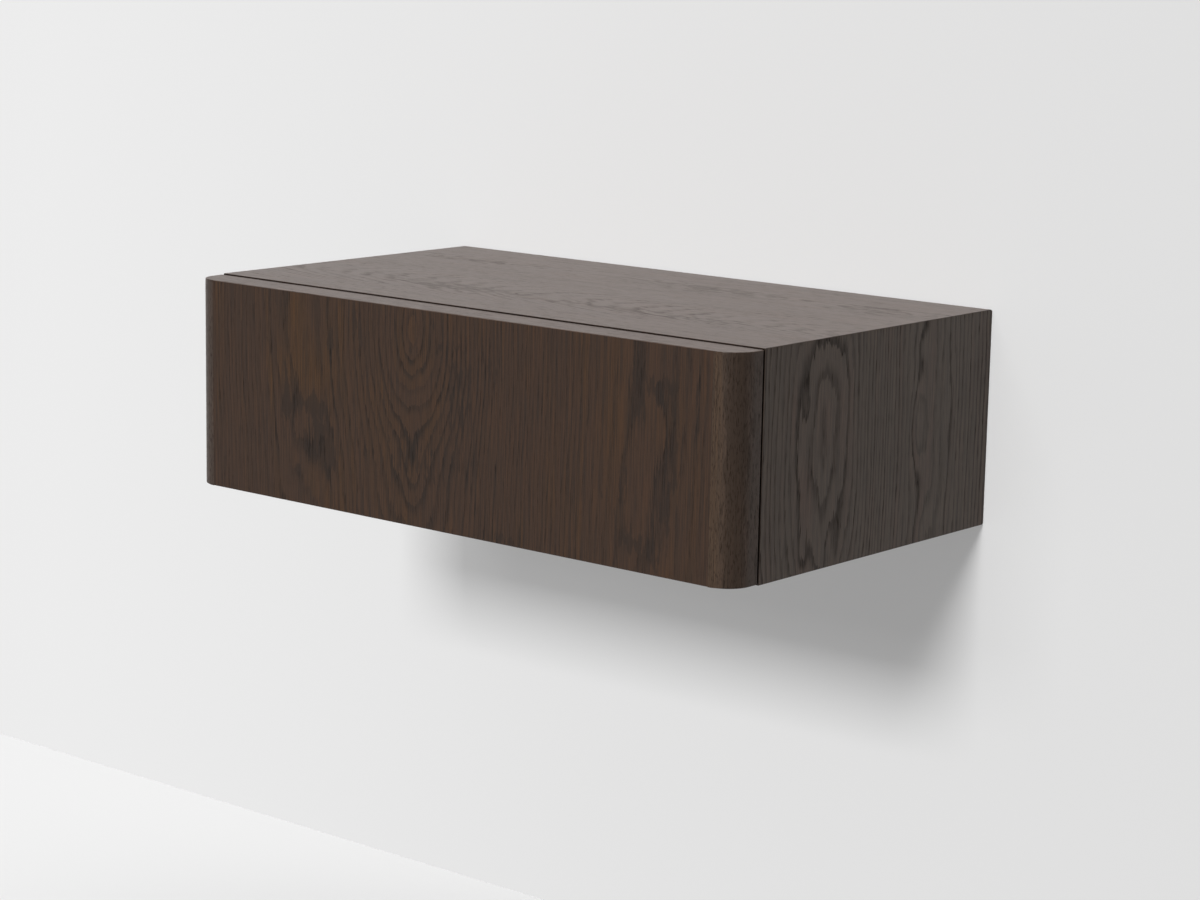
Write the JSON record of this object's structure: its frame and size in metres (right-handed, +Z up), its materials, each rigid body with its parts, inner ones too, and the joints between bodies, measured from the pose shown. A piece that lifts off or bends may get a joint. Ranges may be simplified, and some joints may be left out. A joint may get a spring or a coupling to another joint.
{
  "type": "floating nightstand",
  "caption": "Wall-hung nightstand in dark stained oak: mitred box case with a full-width drawer, rounded front corners and a hidden finger pull.",
  "frame": {"origin": "centre of the wall cleat's rear face, on the wall, 90 mm below the top of the case", "axes": "+X to the right of someone facing the drawer, +Y into the wall, +Z up; the drawer opens along -Y"},
  "size_m": [0.65, 0.38, 0.2],
  "materials": {
    "stained_oak_veneer": "dark stained open-pore oak veneer, satin matt lacquer",
    "front_oak_veneer": "dark stained oak veneer, vertical crown-cut grain, satin matt lacquer",
    "solid_oak_post": "dark stained solid oak, turned corner, satin matt lacquer",
    "drawer_oak": "stained oak boards, matt",
    "back_panel_ply": "stained veneered plywood",
    "cleat_ply": "birch plywood, bare",
    "slide_steel": "zinc plated rolled steel",
    "cage_steel": "bright pressed steel with polished balls",
    "screw_steel": "yellow zinc plated steel",
    "lever_plastic": "black moulded acetal",
    "bumper_rubber": "soft black rubber"
  },
  "bodies": {
    "case": {"bottom_left_mitre_spline": "cleat_ply", "bottom_right_mitre_spline": "cleat_ply", "case_back_panel": "back_panel_ply", "case_bottom": "stained_oak_veneer", "case_cleat": "cleat_ply", "case_left_side": "stained_oak_veneer", "case_right_side": "stained_oak_veneer", "case_top": "stained_oak_veneer", "cleat_screw_1": "screw_steel", "cleat_screw_2": "screw_steel", "cleat_screw_3": "screw_steel", "cleat_screw_4": "screw_steel", "left_case_side_screw_1": "screw_steel", "left_case_side_screw_2": "screw_steel", "left_slide_outer_member": "slide_steel", "right_case_side_screw_1": "screw_steel", "right_case_side_screw_2": "screw_steel", "right_slide_outer_member": "slide_steel", "top_left_mitre_spline": "cleat_ply", "top_right_mitre_spline": "cleat_ply", "wall_cleat": "cleat_ply"},
    "drawer": {"drawer_box_back": "drawer_oak", "drawer_box_bottom": "drawer_oak", "drawer_box_front": "drawer_oak", "drawer_box_left": "drawer_oak", "drawer_box_right": "drawer_oak", "drawer_front_left_post": "solid_oak_post", "drawer_front_panel": "front_oak_veneer", "drawer_front_right_post": "solid_oak_post", "front_screw_1": "screw_steel", "front_screw_2": "screw_steel", "front_screw_3": "screw_steel", "front_screw_4": "screw_steel", "left_drawer_side_screw_1": "screw_steel", "left_drawer_side_screw_2": "screw_steel", "left_lower_bumper": "bumper_rubber", "left_slide_inner_member": "slide_steel", "left_upper_bumper": "bumper_rubber", "right_drawer_side_screw_1": "screw_steel", "right_drawer_side_screw_2": "screw_steel", "right_lower_bumper": "bumper_rubber", "right_slide_inner_member": "slide_steel", "right_upper_bumper": "bumper_rubber"},
    "left_lever": {"left_release_lever": "lever_plastic"},
    "left_inner_cage": {"left_slide_inner_cage": "cage_steel"},
    "left_intermediate": {"left_slide_intermediate_member": "slide_steel"},
    "left_outer_cage": {"left_slide_outer_cage": "cage_steel"},
    "right_lever": {"right_release_lever": "lever_plastic"},
    "right_inner_cage": {"right_slide_inner_cage": "cage_steel"},
    "right_intermediate": {"right_slide_intermediate_member": "slide_steel"},
    "right_outer_cage": {"right_slide_outer_cage": "cage_steel"}
  },
  "joints": [
    {"name": "drawer_slide", "type": "slide", "parent": "case", "child": "drawer", "axis": [0, -1, 0], "range_m": [0, 0.3]},
    {"name": "left_intermediate_slide", "type": "slide", "parent": "case", "child": "left_intermediate", "axis": [0, -1, 0], "range_m": [0, 0.15]},
    {"name": "left_outer_cage_slide", "type": "slide", "parent": "case", "child": "left_outer_cage", "axis": [0, -1, 0], "range_m": [0, 0.075]},
    {"name": "left_inner_cage_slide", "type": "slide", "parent": "case", "child": "left_inner_cage", "axis": [0, -1, 0], "range_m": [0, 0.225]},
    {"name": "right_intermediate_slide", "type": "slide", "parent": "case", "child": "right_intermediate", "axis": [0, -1, 0], "range_m": [0, 0.15]},
    {"name": "right_outer_cage_slide", "type": "slide", "parent": "case", "child": "right_outer_cage", "axis": [0, -1, 0], "range_m": [0, 0.075]},
    {"name": "right_inner_cage_slide", "type": "slide", "parent": "case", "child": "right_inner_cage", "axis": [0, -1, 0], "range_m": [0, 0.225]},
    {"name": "left_lever_hinge", "type": "hinge", "parent": "drawer", "child": "left_lever", "pos_m": [-0.2989, -0.251, -0.034], "axis": [1, 0, 0], "range_deg": [0, 7], "stiffness_Nm_per_rad": 0.05},
    {"name": "right_lever_hinge", "type": "hinge", "parent": "drawer", "child": "right_lever", "pos_m": [0.2989, -0.251, -0.034], "axis": [1, 0, 0], "range_deg": [0, 7], "stiffness_Nm_per_rad": 0.05}
  ],
  "couplings": [
    {"joint": "left_intermediate_slide", "follows": "drawer_slide", "ratio": 0.5},
    {"joint": "left_outer_cage_slide", "follows": "drawer_slide", "ratio": 0.25},
    {"joint": "left_inner_cage_slide", "follows": "drawer_slide", "ratio": 0.75},
    {"joint": "right_intermediate_slide", "follows": "drawer_slide", "ratio": 0.5},
    {"joint": "right_outer_cage_slide", "follows": "drawer_slide", "ratio": 0.25},
    {"joint": "right_inner_cage_slide", "follows": "drawer_slide", "ratio": 0.75}
  ]
}
